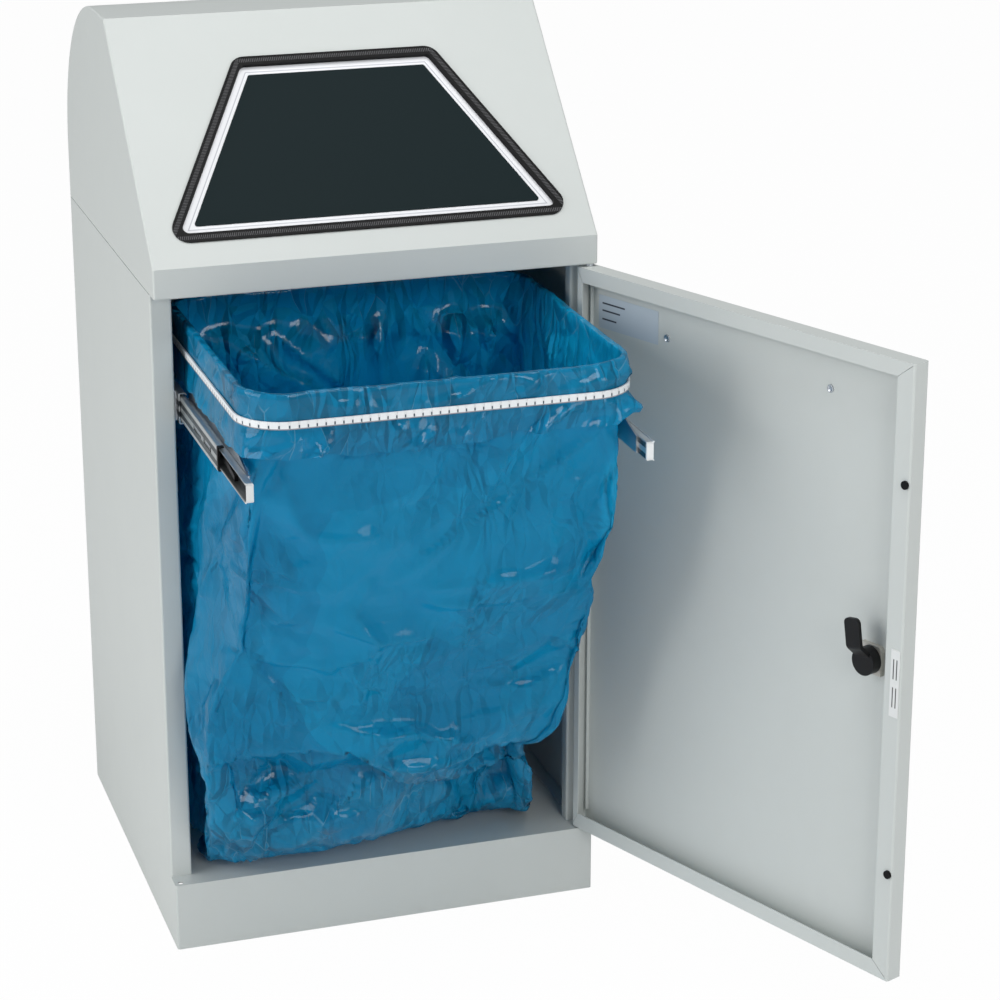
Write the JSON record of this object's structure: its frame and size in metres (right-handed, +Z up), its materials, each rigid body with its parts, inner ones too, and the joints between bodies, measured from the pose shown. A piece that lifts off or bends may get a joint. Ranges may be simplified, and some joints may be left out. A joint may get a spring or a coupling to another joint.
{
  "type": "waste bin",
  "caption": "Sheet-steel waste cabinet with a sloping hood, a throw-in flap, an open front door and a film sack on a pull-out frame.",
  "frame": {"origin": "centre of the plinth's footprint on the floor", "axes": "+X to the right seen from the front, +Y to the back, +Z up"},
  "size_m": [0.6872, 0.9534, 1.029],
  "materials": {
    "cabinet_paint": "light grey powder coat, satin",
    "zinc_steel": "bright zinc",
    "slide_steel": "bright zinc, drawn",
    "ball_steel": "polished",
    "black_rubber": "matte",
    "white_paint": "white coat, satin",
    "dark_inlay": "anthracite, satin",
    "lock_zinc": "die-cast zinc",
    "black_plastic": "moulded",
    "white_plastic": "moulded",
    "blue_film": "thin glossy film"
  },
  "bodies": {
    "cabinet": {"plinth": "cabinet_paint", "body_shell": "cabinet_paint", "top_frame": "cabinet_paint", "hood": "cabinet_paint", "opening_trim": "black_rubber", "flap_rod": "zinc_steel", "flap_springs": "ball_steel", "flap_bracket_left": "zinc_steel", "flap_bracket_right": "zinc_steel", "rail_bracket_left": "zinc_steel", "rail_bracket_right": "zinc_steel", "rail_outer_left": "slide_steel", "rail_outer_right": "slide_steel"},
    "flap": {"flap_plate": "white_paint", "flap_inlay": "dark_inlay"},
    "door": {"door_panel": "cabinet_paint", "door_corner_strip": "cabinet_paint", "door_buffers": "black_rubber", "hinge_pin_top": "zinc_steel", "hinge_pin_bottom": "zinc_steel", "lock_housing": "lock_zinc"},
    "lock": {"lock_spindle": "lock_zinc", "lock_cam": "black_plastic"},
    "middle_left": {"rail_middle_left": "slide_steel", "middle_stop_left": "black_plastic"},
    "middle_right": {"rail_middle_right": "slide_steel", "middle_stop_right": "black_plastic"},
    "cage_outer_left": {"cage_outer_left": "ball_steel"},
    "cage_outer_right": {"cage_outer_right": "ball_steel"},
    "cage_inner_left": {"cage_inner_left": "ball_steel"},
    "cage_inner_right": {"cage_inner_right": "ball_steel"},
    "bag_frame": {"rail_inner_left": "slide_steel", "rail_inner_right": "slide_steel", "release_lever_left": "black_plastic", "release_lever_right": "black_plastic", "frame_bracket_left": "zinc_steel", "frame_bracket_right": "zinc_steel", "bag_hoop": "zinc_steel", "clamp_band": "white_plastic", "bag": "blue_film"}
  },
  "joints": [
    {"name": "door_hinge", "type": "hinge", "parent": "cabinet", "child": "door", "pos_m": [0.243, -0.243, 0.42], "axis": [0, 0, 1], "range_deg": [-20, 67.5]},
    {"name": "lock_turn", "type": "hinge", "parent": "door", "child": "lock", "pos_m": [0.41062, -0.64766, 0.43], "axis": [0.9239, 0.3827, 0], "range_deg": [0, 99]},
    {"name": "flap_hinge", "type": "hinge", "parent": "cabinet", "child": "flap", "pos_m": [0, -0.05647, 0.98265], "axis": [1, 0, 0], "range_deg": [0, 60], "stiffness_Nm_per_rad": 0.5, "springref_deg": -85.94, "deforming": ["flap_springs"]},
    {"name": "frame_slide", "type": "slide", "parent": "cabinet", "child": "bag_frame", "axis": [0, 1, 0], "range_m": [0, 0.294]},
    {"name": "middle_left_slide", "type": "slide", "parent": "cabinet", "child": "middle_left", "axis": [0, 1, 0], "range_m": [0, 0.1764]},
    {"name": "middle_right_slide", "type": "slide", "parent": "cabinet", "child": "middle_right", "axis": [0, 1, 0], "range_m": [0, 0.1764]},
    {"name": "cage_outer_left_slide", "type": "slide", "parent": "cabinet", "child": "cage_outer_left", "axis": [0, 1, 0], "range_m": [0, 0.0882]},
    {"name": "cage_outer_right_slide", "type": "slide", "parent": "cabinet", "child": "cage_outer_right", "axis": [0, 1, 0], "range_m": [0, 0.0882]},
    {"name": "cage_inner_left_slide", "type": "slide", "parent": "cabinet", "child": "cage_inner_left", "axis": [0, 1, 0], "range_m": [0, 0.2352]},
    {"name": "cage_inner_right_slide", "type": "slide", "parent": "cabinet", "child": "cage_inner_right", "axis": [0, 1, 0], "range_m": [0, 0.2352]}
  ],
  "couplings": [
    {"joint": "middle_left_slide", "follows": "frame_slide", "ratio": 0.6},
    {"joint": "middle_right_slide", "follows": "frame_slide", "ratio": 0.6},
    {"joint": "cage_outer_left_slide", "follows": "frame_slide", "ratio": 0.3},
    {"joint": "cage_outer_right_slide", "follows": "frame_slide", "ratio": 0.3},
    {"joint": "cage_inner_left_slide", "follows": "frame_slide", "ratio": 0.8},
    {"joint": "cage_inner_right_slide", "follows": "frame_slide", "ratio": 0.8}
  ]
}
